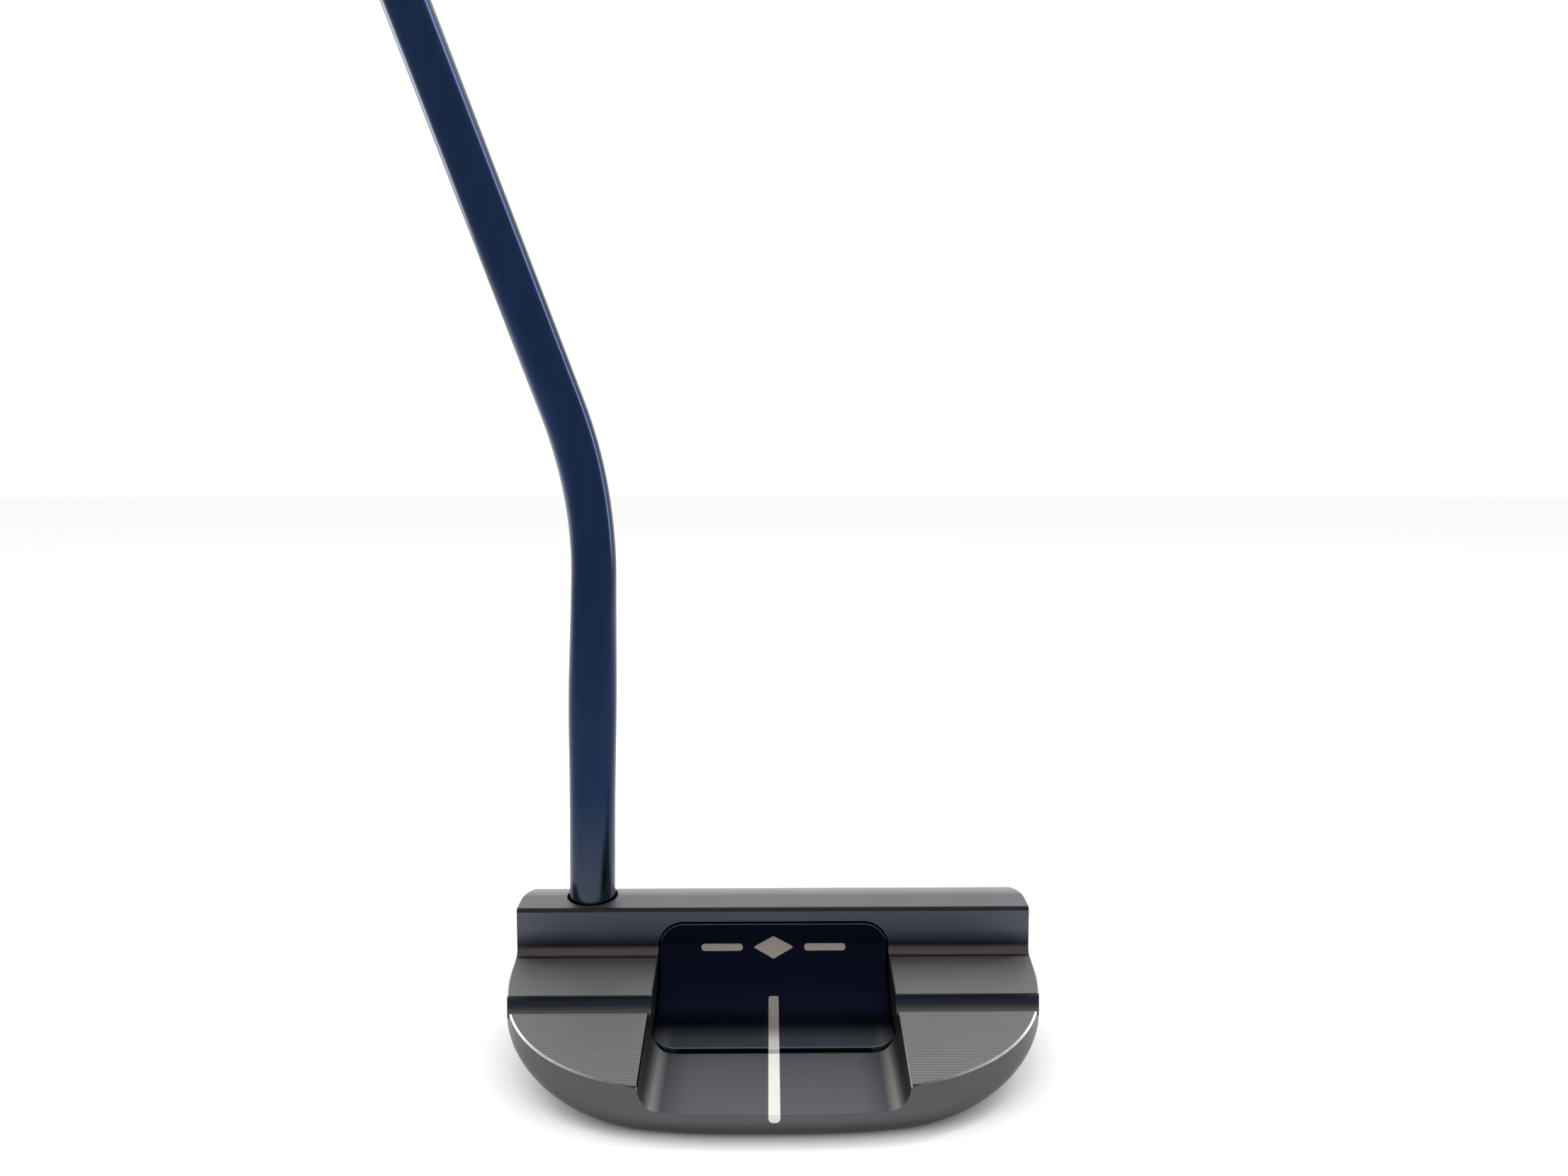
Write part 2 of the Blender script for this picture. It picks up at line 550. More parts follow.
def moulded_rubber(name, base, pattern):
    """Moulded rubber: matt, with a fine stipple that catches the light, and dust in the low places."""
    material, tree, shader = start_material(name, Metallic=0.0)
    # The mould's stipple has a pitch of 1.6 mm.
    cells = add(tree, "ShaderNodeTexVoronoi", {"Vector": object_place(tree), "Scale": 1 / (1.6 * mm),
                                               "Randomness": 0.35}).outputs["Distance"]
    cloud = add(tree, "ShaderNodeTexNoise", {"Vector": object_place(tree), "Scale": 1 / (14 * mm),
                                             "Detail": 3.0}).outputs["Fac"]
    tree.links.new(shades(tree, cloud, base, 0.8, 1.35), shader.inputs["Base Color"])
    tree.links.new(spread(tree, cells, 0.6, 0.85), shader.inputs["Roughness"])
    bump = add(tree, "ShaderNodeBump", {"Height": cells, "Strength": pattern, "Distance": 0.3 * mm},
               invert=True)
    tree.links.new(bump.outputs["Normal"], shader.inputs["Normal"])
    return material


def plain_matter(name, base, pitch, dark, light, roughness, depth):
    """A hidden material with a grain of its own: cured resin, cork, paper tape or damping film."""
    material, tree, shader = start_material(name, Metallic=0.0)
    grain = add(tree, "ShaderNodeTexNoise", {"Vector": object_place(tree), "Scale": 1 / pitch,
                                             "Detail": 4.0}).outputs["Fac"]
    tree.links.new(shades(tree, grain, base, dark, light), shader.inputs["Base Color"])
    tree.links.new(spread(tree, grain, roughness - 0.08, roughness + 0.08), shader.inputs["Roughness"])
    bump = add(tree, "ShaderNodeBump", {"Height": grain, "Strength": 0.5, "Distance": depth})
    tree.links.new(bump.outputs["Normal"], shader.inputs["Normal"])
    return material


def dress(node, material):
    """Gives a CAD node that stays in view its finish."""
    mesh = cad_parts[node].data
    mesh.materials.clear()
    mesh.materials.append(material)


# ------------------------------------------------------------------ head

def crown_z(head, y):
    """Height of the wings' tops, a cylinder whose axis lies along X."""
    y = min(y, head.wall_y)
    centre_y = head.wall_y + head.crown_radius * sin(head.crown_slope)
    centre_z = head.crown_wall_z - head.crown_radius * cos(head.crown_slope)
    return centre_z + sqrt(head.crown_radius ** 2 - (y - centre_y) ** 2)


def rail_z(head, y):
    return head.rail_z + (y - head.wall_y) * tan(head.rail_slope)


def camber_z(head, x):
    """Height of the sole, which curves up at the heel and the toe."""
    past = max(abs(x) - head.land_half, 0)
    return head.end_radius - sqrt(head.end_radius ** 2 - past ** 2)


def side_bar(head):
    """The head's outline seen from the heel, as a bar along X."""
    front_y = head.face_foot_y - (head.rail_z - 2 * mm) * tan(head.loft)
    rear_y = head.wall_y - head.rear_depth * (1 + head.rear_flare) - 1 * mm
    steps = 44
    first = head.wall_y - 2.5 * mm
    crown = [first + (rear_y - first) * i / steps for i in range(steps + 1)]
    corners = [
        (-10 * mm, 0),
        (13 * mm, 0, 12 * mm),
        (26.3 * mm, 0.7 * mm, 3 * mm),
        (head.face_foot_y, 2 * mm, 1 * mm),
        (front_y, rail_z(head, front_y), head.rail_front_radius),
        (head.wall_y, head.rail_z, head.rail_rear_radius),
        (head.wall_y, crown_z(head, head.wall_y), head.wall_fillet),
        *((y, crown_z(head, y)) for y in crown),
        (rear_y, 0.6 * mm),
        (-18 * mm, 0.15 * mm),
    ]
    return prism(corners, "X", -FAR, FAR, segments=12)


def front_bar(head):
    """The head's outline seen from the front, as a bar along Y."""
    half = head.half_width + 0.5 * mm
    top = rail_z(head, head.face_foot_y) + 1 * mm
    steps = 60
    across = [half * (2 * i / steps - 1) for i in range(steps + 1)]
    sole = [(x, camber_z(head, x)) for x in across]
    rail = [(x, top - head.rail_end_drop * (x / half) ** 2) for x in reversed(across)]
    return prism(sole + rail, "Y", -FAR, FAR)


def head_outline(head):
    """The head seen from above: a straight front with rounded corners and a full round rear."""
    steps = 130
    corners = [
        (head.half_width, head.wall_y),
        (head.half_width, head.face_foot_y + 0.2 * mm, head.corner_radius),
        (-head.half_width, head.face_foot_y + 0.2 * mm, head.corner_radius),
    ]
    for i in range(steps):
        turn = pi * (1 + i / steps)
        across = abs(cos(turn)) ** (2 / head.outline_power)
        back = abs(sin(turn)) ** (2 / head.outline_power)
        side = -1 if cos(turn) < 0 else 1
        corners.append((side * head.half_width * across, head.wall_y - head.rear_depth * back))
    return corners


def wall_levels(head):
    """Rings of the outer wall from below the sole up: (what its height follows, height, distance inwards)."""
    radius, chamfer = head.sole_edge, head.crown_chamfer
    levels = [("level", -5 * mm, 2 * radius)]
    for turn in range(80, -1, -10):
        rise, inset = 1 - sin(radians(turn)), 1 - cos(radians(turn))
        levels.append(("sole", radius * rise, radius * inset))
    levels.append(("crown", -chamfer * 0.9, 0))
    levels.append(("crown", chamfer * 0.35, chamfer * 1.25))
    levels.append(("level", 40 * mm, chamfer * 1.25))
    return levels


def head_envelope(head):
    """The head before anything is cut into it."""
    levels = wall_levels(head)
    bm = prism(head_outline(head), "Z", 0, 1, steps=len(levels) - 1)
    for vert in bm.verts:
        follows, height, inset = levels[round(vert.co.z * (len(levels) - 1))]
        behind = head.wall_y - vert.co.y
        if follows == "sole":
            height += camber_z(head, vert.co.x)
        if follows == "crown":
            height += crown_z(head, vert.co.y)
        if vert.co.z > 0.8:
            inset *= min(max(behind / (4 * mm), 0), 1)
        flare = 1 + head.rear_flare * (1 - min(height, 20 * mm) / head.flare_top)
        vert.co.x *= 1 - inset / head.half_width
        if behind > 0:
            vert.co.y = head.wall_y - behind * (flare - inset / head.rear_depth)
        vert.co.z = height
    return combine(bm, [side_bar(head), front_bar(head)], "INTERSECT")


def slot_cutter(head):
    """The slot across both wings, with a round bottom and chamfered edges."""
    low, high = head.slot_y - head.slot_width / 2, head.slot_y + head.slot_width / 2
    chamfer = head.slot_chamfer
    corners = [
        (low, head.slot_floor_z, head.slot_width / 2 - 0.02 * mm),
        (high, head.slot_floor_z, head.slot_width / 2 - 0.02 * mm),
        (high, crown_z(head, high) - chamfer),
        (high + 2 * chamfer, crown_z(head, high) + chamfer),
        (high + 2 * chamfer, FAR),
        (low - 2 * chamfer, FAR),
        (low - 2 * chamfer, crown_z(head, low) + chamfer),
        (low, crown_z(head, low) - chamfer),
    ]
    return prism(corners, "X", -FAR, FAR, segments=16)


def channel_cutter(head):
    """The channel between the wings, open at the rear."""
    half = head.channel_half
    corners = [
        (-half, head.channel_floor_z, head.channel_fillet),
        (half, head.channel_floor_z, head.channel_fillet),
        (half, FAR),
        (-half, FAR),
    ]
    return slope_channel(head, prism(corners, "Y", -FAR, head.wall_y - head.wall_fillet, segments=16))


def insert_outline(insert, bm, grow):
    """Rounds a bar along X to the insert's upper corners and rear corners."""
    half = insert.half_width + grow
    rear, top = insert.rear_y - grow, insert.top_z + grow
    front = prism([
        (half, -FAR),
        (half, top, insert.top_corner + grow),
        (-half, top, insert.top_corner + grow),
        (-half, -FAR),
    ], "Y", -FAR, FAR, segments=16)
    plan = prism([
        (half, FAR),
        (-half, FAR),
        (-half, rear, insert.rear_corner + grow),
        (half, rear, insert.rear_corner + grow),
    ], "Z", -FAR, FAR, segments=16)
    return combine(bm, [front, plan], "INTERSECT")


def pocket_cutter(insert, grow):
    """The pocket of the cavity insert, open towards the channel."""
    back, under = insert.back_y + grow, insert.under_z - grow
    section = prism([
        (-FAR, under),
        (back, under, insert.back_corner),
        (back, FAR),
        (-FAR, FAR),
    ], "X", -FAR, FAR, segments=16)
    return insert_outline(insert, section, grow)


def shaft_frame(shaft):
    """Places a piece that is drawn up from the bottom of the shaft bore."""
    place = Matrix.Translation((shaft.bore_x, shaft.bore_y, shaft.bore_z))
    return place @ Matrix.Rotation(shaft.bore_tilt, 4, "Y")


def on_camber(head, sole, bm, side):
    """Stands a weight, drawn about Z, upright on the curved sole at the heel or the toe."""
    tilt = asin((sole.weight_x - head.land_half) / head.end_radius)
    height = head.end_radius * (1 - cos(tilt))
    place = Matrix.Translation((side * sole.weight_x, sole.weight_y, height))
    return moved(bm, place @ Matrix.Rotation(-side * tilt, 4, "Y"))


def plate_bar(sole, grow, low, high):
    half = sole.plate_half + grow
    rear, front = sole.plate_rear_y - grow, sole.plate_front_y + grow
    radius = sole.plate_corner + grow
    return prism([
        (half, rear, radius),
        (half, front, radius),
        (-half, front, radius),
        (-half, rear, radius),
    ], "Z", low, high, segments=12)


def floor_line(head, insert, grow):
    """The sight line in the channel's floor, turned down over its rear edge. A grown one is a cutter."""
    half = insert.sight_width / 2 + grow
    over = 1 * mm if grow > 0 else 0
    front, top = insert.rear_y - insert.seam + over, head.channel_floor_z + grow + over
    strip = prism([
        (front, head.channel_floor_z - insert.fill_depth - grow),
        (front, top),
        (-FAR, top),
        (-FAR, 0),
        (-26.4 * mm, 0),
        (-26.4 * mm, head.channel_floor_z - insert.fill_depth - grow),
    ], "X", -half, half)
    slope_channel(head, strip)
    end = insert.sight_end_z - grow
    shape = prism([
        (half, FAR),
        (-half, FAR),
        (-half, end, insert.sight_corner),
        (half, end, insert.sight_corner),
    ], "Y", -FAR, FAR)
    return combine(strip, [shape], "INTERSECT")


def screw_places():
    """Middle of each screw in plan, from the CAD screws' own boxes."""
    for number in (1, 2, 3):
        low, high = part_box(f"sole_screw_{number}")
        yield number, (low[0] + high[0]) / 2, (low[1] + high[1]) / 2


def slope_channel(head, bm):
    """Tilts a piece of the channel's floor to the floor's slope."""
    for vert in bm.verts:
        vert.co.z += (vert.co.y - head.channel_level_y) * tan(head.channel_slope)
    return bm


def head_materials(head, colours):
    """The finishes of the head's faces, by name, in the order of its material slots."""
    foot_z = crown_z(head, head.wall_y)
    side = head.channel_half
    wing = [(-head.half_width, colours.edge), (-0.75 * head.half_width, colours.edge), (-side, colours.edge_dark),
            (side, colours.edge_dark), (0.75 * head.half_width, colours.edge), (head.half_width, colours.edge)]
    floor = [(side, colours.channel_hollow), (side - 0.8 * mm, colours.channel_hollow),
             (side - 2.2 * mm, colours.channel_side), (side - 4 * mm, colours.channel_hollow),
             (side - 8 * mm, colours.channel)]
    level = [(-1, colours.satin), (1, colours.satin)]
    bright = [(-1, colours.edge), (1, colours.edge)]
    lip = [(-1, colours.lip), (1, colours.lip)]
    return {
        "rim": satin_steel("blasted_stainless_steel", "X", level),
        "rail": satin_steel("blasted_rail_steel", "Y", [
            (head.wall_y, colours.rail),
            (head.wall_y + 6 * mm, colours.rail),
            (head.wall_y + 11.5 * mm, colours.rail_front),
        ]),
        "wall": satin_steel("blasted_wall_steel", "Z", [
            (foot_z - 0.3 * mm, colours.wall_low),
            (foot_z + 0.2 * mm, colours.wall_foot),
            (foot_z + 0.9 * mm, colours.wall_foot),
            (foot_z + 1.9 * mm, colours.wall_low),
            (foot_z + 5 * mm, colours.wall),
            (head.rail_z, colours.wall),
        ]),
        "channel": satin_steel("blasted_channel_steel", "X", [(-x, c) for x, c in floor] + floor[::-1]),
        "slot": satin_steel("milled_slot_steel", "Z", [
            (head.slot_floor_z + 0.2 * mm, colours.slot_side),
            (head.slot_floor_z + 1.2 * mm, colours.slot),
            (head.slot_floor_z + 2.3 * mm, colours.slot),
            (head.slot_floor_z + 3.1 * mm, colours.slot_side),
        ]),
        "crown": milled_steel(colours.crown),
        "wing_edge": polished_edge("rubbed_wing_edge", "X", wing),
        "channel_edge": polished_edge("rubbed_channel_edge", "X", bright),
        "lip": polished_edge("polished_rail_lip", "X", lip),
    }


def head_finish(head, face):
    """The name of the finish that a face of the head has."""
    centre, normal = face.calc_center_median(), face.normal
    below = crown_z(head, centre.y) - centre.z
    across = abs(centre.x)
    if centre.y > head.wall_y - head.wall_fillet - 0.1 * mm:
        if centre.z > head.rail_z - head.rail_rear_radius and centre.y < head.wall_y + 0.6 * mm and normal.y < -0.15:
            return "lip"
        if normal.z > 0.2 and centre.z > head.rail_z - 2 * mm:
            return "rail"
        return "wall" if centre.y < head.wall_y + 0.1 * mm and normal.y < -0.2 and below < 0.1 * mm else "rim"
    if across < head.channel_half + 0.02 * mm and below > 0.1 * mm and normal.z > -0.1 and normal.y > -0.5:
        return "channel"
    if normal.z > 0.95 and abs(below) < 0.05 * mm:
        return "crown"
    if abs(centre.y - head.slot_y) < head.slot_width / 2 + head.slot_chamfer and centre.z > head.slot_floor_z - 0.1 * mm:
        return "slot"
    if abs(below) < 1 * mm and 0.3 < normal.z < 0.95:
        return "channel_edge" if across < head.channel_half + head.edge_break else "wing_edge"
    return "rim"


def edge_cutter(head, side):
    """Breaks the edge between a wing's top and the channel."""
    size = head.edge_break
    x = side * head.channel_half
    bm = prism([(x - size, 0), (x, -size), (x + size, 0), (x, size)], "Y",
               -60 * mm, head.wall_y - head.wall_fillet, steps=60)
    for vert in bm.verts:
        vert.co.z += crown_z(head, vert.co.y)
    return bm


class PUTTER_OT_head(bpy.types.Operator):
    """Builds the milled steel head with its rail, wings, slots, channel and pockets"""
    bl_idname = "putter.head"
    bl_label = "Head"

    def execute(self, context):
        scene = context.scene
        head, insert, sole, shaft = scene.putter_head, scene.putter_insert, scene.putter_sole, scene.putter_shaft
        weight = sole.weight_radius + sole.gap
        depth = sole.weight_recess + sole.weight_height + sole.gap
        cutters = [
            channel_cutter(head),
            slot_cutter(head),
            edge_cutter(head, -1),
            edge_cutter(head, 1),
            pocket_cutter(insert, insert.seam),
            floor_line(head, insert, 0.01 * mm),
            moved(rod(0, 0, shaft.bore_radius, 0, FAR, 96), shaft_frame(shaft)),
            plate_bar(sole, sole.gap, -1 * mm, sole.plate_top_z + sole.gap),
            on_camber(head, sole, rod(0, 0, weight, -5 * mm, depth, 96), -1),
            on_camber(head, sole, rod(0, 0, weight, -5 * mm, depth, 96), 1),
        ]
        bm = combine(head_envelope(head), cutters)

        colours = scene.putter_finishes
        materials = head_materials(head, colours)
        places = list(materials)
        finish_piece("head_body_finished", bm, materials.values(), ["head_body"],
                     faces=lambda face: places.index(head_finish(head, face)))
        return {"FINISHED"}


# ------------------------------------------------------------------ insert, sight lines and emblem

def sweep_bar(insert, rear_y, above, below):
    """A bar along X that follows the insert's surface, from above it to below it."""
    face, floor = insert.face_y, insert.floor_z
    return prism([
        (rear_y, floor - below),
        (face + below, floor - below, insert.sweep + below),
        (face + below, insert.top_z),
        (face - above, insert.top_z),
        (face - above, floor + above, insert.sweep - above),
        (rear_y, floor + above),
    ], "X", -insert.half_width, insert.half_width, segments=28)


def tongue(insert, grow, rear_y):
    """The upper sight line seen from above, with its round end."""
    half = insert.sight_width / 2 + grow
    front = insert.sight_top_y + grow
    return prism([
        (-half, rear_y),
        (half, rear_y),
        (half, front, insert.sight_corner / 2),
        (-half, front, insert.sight_corner / 2),
    ], "Z", -FAR, FAR)


def emblem_bar(insert, side, grow):
    """One figure of the emblem as a bar along Y: a lozenge for side 0, a rounded bar for -1 or 1."""
    if side == 0:
        half, high = insert.lozenge_width / 2 + 1.8 * grow, insert.lozenge_height / 2 + grow
        corners = [(half, 0, 0.3 * mm), (0, high, 0.3 * mm), (-half, 0, 0.3 * mm), (0, -high, 0.3 * mm)]
    else:
        half, high = insert.bar_width / 2 + grow, insert.bar_height / 2 + grow
        corners = [(half, -high, high * 0.9), (half, high, high * 0.9),
                   (-half, high, high * 0.9), (-half, -high, high * 0.9)]
    corners = [(x + side * insert.bar_x, z + insert.emblem_z, radius) for x, z, radius in corners]
    return prism(corners, "Y", 0, FAR)


def insert_finish(insert, face):
    """The finish of a face of the insert: 0 anodised, 1 worn, on the rounding round the upright's outline."""
    upright = face.calc_center_median().z > insert.floor_z + insert.sweep
    return 1 if upright and -0.95 < face.normal.y < -0.3 else 0


class PUTTER_OT_insert(bpy.types.Operator):
    """Builds the black L-shaped cavity insert with its recesses"""
    bl_idname = "putter.insert"
    bl_label = "Cavity insert"

    def execute(self, context):
        insert = context.scene.putter_insert
        section = prism([
            (-FAR, insert.under_z),
            (insert.back_y, insert.under_z, insert.back_corner),
            (insert.back_y, FAR),
            (insert.face_y, FAR),
            (insert.face_y, insert.floor_z, insert.sweep),
            (-FAR, insert.floor_z),
        ], "X", -FAR, FAR, segments=28)
        bm = insert_outline(insert, section, 0)
        bmesh.ops.remove_doubles(bm, verts=bm.verts, dist=0.01 * mm)
        soften(bm, sharp_edges(bm), insert.edge)
        groove = combine(sweep_bar(insert, insert.rear_y - 1 * mm, 3 * mm, insert.fill_depth),
                         [tongue(insert, 0, insert.rear_y - 1 * mm)], "INTERSECT")
        recesses = [
            combine(sweep_bar(insert, 0, 3 * mm, insert.fill_depth), [emblem_bar(insert, side, 0)], "INTERSECT")
            for side in (-1, 0, 1)
        ]
        bm = combine(bm, [groove, *recesses])
        colours = context.scene.putter_finishes
        dark, side = (0, 0, 0), insert.half_width
        strip = [(side, dark), (side - 0.8 * mm, dark), (side - 2.5 * mm, colours.insert_side), (side - 4.2 * mm, dark)]
        strips = [(-x, tone) for x, tone in strip] + strip[::-1]
        materials = [
            anodised_aluminium("black_anodised_aluminium", [
                (insert.rear_y + 0.02 * mm, colours.insert),
                (insert.rear_y + 0.1 * mm, colours.insert_edge),
                (insert.rear_y + insert.edge + 0.1 * mm, colours.insert_floor),
                (insert.rear_y + 4 * mm, colours.insert_floor),
                (3 * mm, colours.insert),
                (insert.face_y, colours.insert),
            ], strips),
            anodised_aluminium("worn_anodised_edge", [(0, colours.insert_edge), (1, colours.insert_edge)]),
        ]
        finish_piece("cavity_insert_finished", bm, materials, ["cavity_insert"],
                     faces=lambda face: insert_finish(insert, face))
        return {"FINISHED"}


class PUTTER_OT_sight_lines(bpy.types.Operator):
    """Builds the white sight line in the insert and in the channel floor"""
    bl_idname = "putter.sight_lines"
    bl_label = "Sight lines"

    def execute(self, context):
        head, insert = context.scene.putter_head, context.scene.putter_insert
        colours = context.scene.putter_finishes
        paint = fill_paint("white_enamel_fill", [
            (insert.rear_y - 3 * mm, colours.sight),
            (insert.rear_y - 0.6 * mm, colours.sight),
            (insert.rear_y - 0.2 * mm, colours.sight_seam),
            (insert.rear_y + 2.5 * mm, colours.sight_seam),
            (1 * mm, colours.sight_top),
            (insert.sight_top_y, colours.sight_top),
        ])
        trim = -0.005 * mm
        half = insert.sight_width / 2 + trim
        upper = combine(sweep_bar(insert, insert.rear_y, -insert.fill_sink, insert.fill_depth + trim),
                        [tongue(insert, trim, insert.rear_y - 1 * mm)], "INTERSECT")
        low = head.channel_floor_z + (insert.rear_y - head.channel_level_y) * tan(head.channel_slope) + trim
        step = prism([
            (insert.rear_y - insert.seam + trim, low),
            (insert.rear_y + 0.4 * mm, low),
            (insert.rear_y + 0.4 * mm, insert.floor_z - insert.fill_sink),
            (insert.rear_y - insert.seam + trim, insert.floor_z - insert.fill_sink, 0.25 * mm),
        ], "X", -half, half)
        finish_piece("sight_line_insert_painted", combine(upper, [step], "UNION"), [paint],
                     ["sight_line_insert"])
        lower = combine(head_envelope(head), [floor_line(head, insert, trim)], "INTERSECT")
        finish_piece("sight_line_floor_painted", lower, [paint], ["sight_line_floor"])
        return {"FINISHED"}


class PUTTER_OT_emblem(bpy.types.Operator):
    """Builds the plain emblem of a lozenge between two bars"""
    bl_idname = "putter.emblem"
    bl_label = "Emblem"

    def execute(self, context):
        insert = context.scene.putter_insert
        colours = context.scene.putter_finishes
        paint = fill_paint("warm_grey_enamel_fill", [(0, colours.emblem), (1, colours.emblem)])
        trim = -0.005 * mm
        for name, side in (("emblem_bar_heel", -1), ("emblem_lozenge", 0), ("emblem_bar_toe", 1)):
            band = sweep_bar(insert, 0, -2 * insert.fill_sink, insert.fill_depth + trim)
            figure = combine(band, [emblem_bar(insert, side, trim)], "INTERSECT")
            finish_piece(f"{name}_painted", figure, [paint], [name])
        return {"FINISHED"}


# ------------------------------------------------------------------ sole

class PUTTER_OT_sole_plate(bpy.types.Operator):
    """Builds the sole plate with its countersunk holes"""
    bl_idname = "putter.sole_plate"
    bl_label = "Sole plate"

    def execute(self, context):
        head, sole = context.scene.putter_head, context.scene.putter_sole
        bm = combine(plate_bar(sole, 0, -1 * mm, sole.plate_top_z), [side_bar(head), front_bar(head)], "INTERSECT")
        holes = []
        for _, x, y in screw_places():
            holes.append(rod(x, y, sole.screw_head + sole.gap, -1 * mm, sole.screw_head_height + 2 * sole.gap))
            holes.append(rod(x, y, sole.screw_radius + sole.gap, 0, FAR))
        bm = combine(bm, holes)
        colours = context.scene.putter_finishes
        material = anodised_aluminium("black_anodised_plate", [(0, colours.insert), (1, colours.insert)])
        finish_piece("sole_plate_finished", bm, [material], ["sole_plate"])
        return {"FINISHED"}


class PUTTER_OT_sole_screws(bpy.types.Operator):
    """Builds the three socket screws that hold the sole plate and the insert"""
    bl_idname = "putter.sole_screws"
    bl_label = "Sole screws"

    def execute(self, context):
        sole = context.scene.putter_sole
        steel = turned_steel(context.scene.putter_finishes.hardware)
        low, neck = sole.gap, sole.gap + sole.screw_head_height
        edge, pitch, depth = 0.3 * mm, 0.5 * mm, 0.25 * mm
        thread = []
        height = neck
        while height + pitch < sole.screw_top - 0.4 * mm:
            thread += [(sole.screw_radius - depth, height), (sole.screw_radius, height + pitch / 2)]
            height += pitch
        profile = [
            (0, low),
            (sole.screw_head - edge, low),
            (sole.screw_head, low + edge),
            (sole.screw_head, neck),
            *thread,
            (sole.screw_radius - depth, height),
            (sole.screw_radius - 2 * depth, sole.screw_top),
            (0, sole.screw_top),
        ]
        for number, x, y in screw_places():
            socket = rod(0, 0, sole.hexagon, 0, low + 0.8 * sole.screw_head_height, 6)
            bm = moved(combine(turned(profile, 48), [socket]), Matrix.Translation((x, y, 0)))
            finish_piece(f"sole_screw_{number}_turned", bm, [steel], [f"sole_screw_{number}"])
        return {"FINISHED"}


class PUTTER_OT_sole_weights(bpy.types.Operator):
    """Builds the heel and toe weights with their spanner holes"""
    bl_idname = "putter.sole_weights"
    bl_label = "Sole weights"

    def execute(self, context):
        head, sole = context.scene.putter_head, context.scene.putter_sole
        steel = turned_steel(context.scene.putter_finishes.hardware)
        low, top, chamfer = sole.weight_recess, sole.weight_recess + sole.weight_height, 0.5 * mm
        groove = sole.weight_radius * 0.8
        profile = [
            (0, low),
            (groove - 0.3 * mm, low),
            (groove - 0.15 * mm, low + 0.15 * mm),
            (groove, low),
            (sole.weight_radius - chamfer, low),
            (sole.weight_radius, low + chamfer),
            (sole.weight_radius, top),
            (0, top),
        ]
        for end, side in (("heel", -1), ("toe", 1)):
            pins = [rod(hole * sole.pin_x, 0, sole.pin_radius, 0, low + sole.pin_depth, 32) for hole in (-1, 1)]
            bm = on_camber(head, sole, combine(turned(profile, 96), pins), side)
            finish_piece(f"{end}_weight_turned", bm, [steel], [f"{end}_weight"])
        return {"FINISHED"}


# ------------------------------------------------------------------ shaft and grip

def shaft_radius(shaft, along):
    taper = max(along - shaft.taper_start, 0) / (shaft.butt - shaft.taper_start)
    return shaft.tip_radius + (shaft.butt_radius - shaft.tip_radius) * taper


def bends(shaft):
    """Each bend as (start, radius, angle, direction), upper bend first."""
    lean = shaft.lean + shaft.bore_tilt
    upper = Matrix.Rotation(shaft.forward_angle, 3, "X") @ Vector((-sin(lean), 0, cos(lean)))
    lie_angle = acos(upper.z)
    lie_start = shaft.lie_centre - shaft.lie_radius * lie_angle / 2
    forward_start = shaft.forward_centre - shaft.forward_radius * shaft.forward_angle / 2
    return [
        (lie_start, shaft.lie_radius, lie_angle, atan2(upper.y, upper.x)),
        (forward_start, shaft.forward_radius, shaft.forward_angle, pi / 2),
    ]


def bend_point(shaft, point):
    """Moves a point of the straight shaft to where the bends carry it."""
    for start, radius, angle, direction in bends(shaft):
        turn = min(max((point.z - start) / radius, 0), angle)
        side = Vector((cos(direction), sin(direction), 0))
        pivot = side * radius + Vector((0, 0, start))
        axis = Vector((0, 0, 1)).cross(side)
        lowered = point - Vector((0, 0, radius * turn))
        point = Matrix.Rotation(turn, 3, axis) @ (lowered - pivot) + pivot
    return point


class PUTTER_OT_shaft(bpy.types.Operator):
    """Builds the double-bend shaft, drawn out of round a little where it is bent"""
    bl_idname = "putter.shaft"
    bl_label = "Shaft"

    def execute(self, context):
        shaft = context.scene.putter_shaft
        fine = [shaft.start + 2 * mm * i for i in range(1, 75)]
        stations = [shaft.start, *fine, shaft.taper_start, shaft.butt]
        steps = len(stations) - 1
        bm = bmesh.new()
        bmesh.ops.create_circle(bm, cap_ends=True, segments=96, radius=1)
        draw_out(bm, (0, 0, 1), steps)
        for vert in bm.verts:
            along = stations[round(vert.co.z)]
            radius = shaft_radius(shaft, along)
            wide = 1 + 0.055 * exp(-((along - 63 * mm) / (14 * mm)) ** 2)
            narrow = 0.03 * exp(-((along - 97 * mm) / (14 * mm)) ** 2)
            vert.co = bend_point(shaft, Vector((vert.co.x * radius * (wide - narrow),
                                                vert.co.y * radius * (2 - wide), along)))
        bmesh.ops.recalc_face_normals(bm, faces=bm.faces)
        moved(bm, shaft_frame(shaft))
        colours = context.scene.putter_finishes
        material = coated_shaft(colours.shaft, colours.shaft_foot)
        finish_piece("shaft_coated", bm, [material], ["shaft"])
        return {"FINISHED"}


def grip_frame(shaft, grip):
    """Places a piece that is drawn up from the grip's mouth."""
    start = shaft.butt + grip.gap - grip.length
    place = Matrix.Translation(bend_point(shaft, Vector((0, 0, start))))
    return shaft_frame(shaft) @ place @ Matrix.Rotation(-shaft.lean - shaft.bore_tilt, 4, "Y")


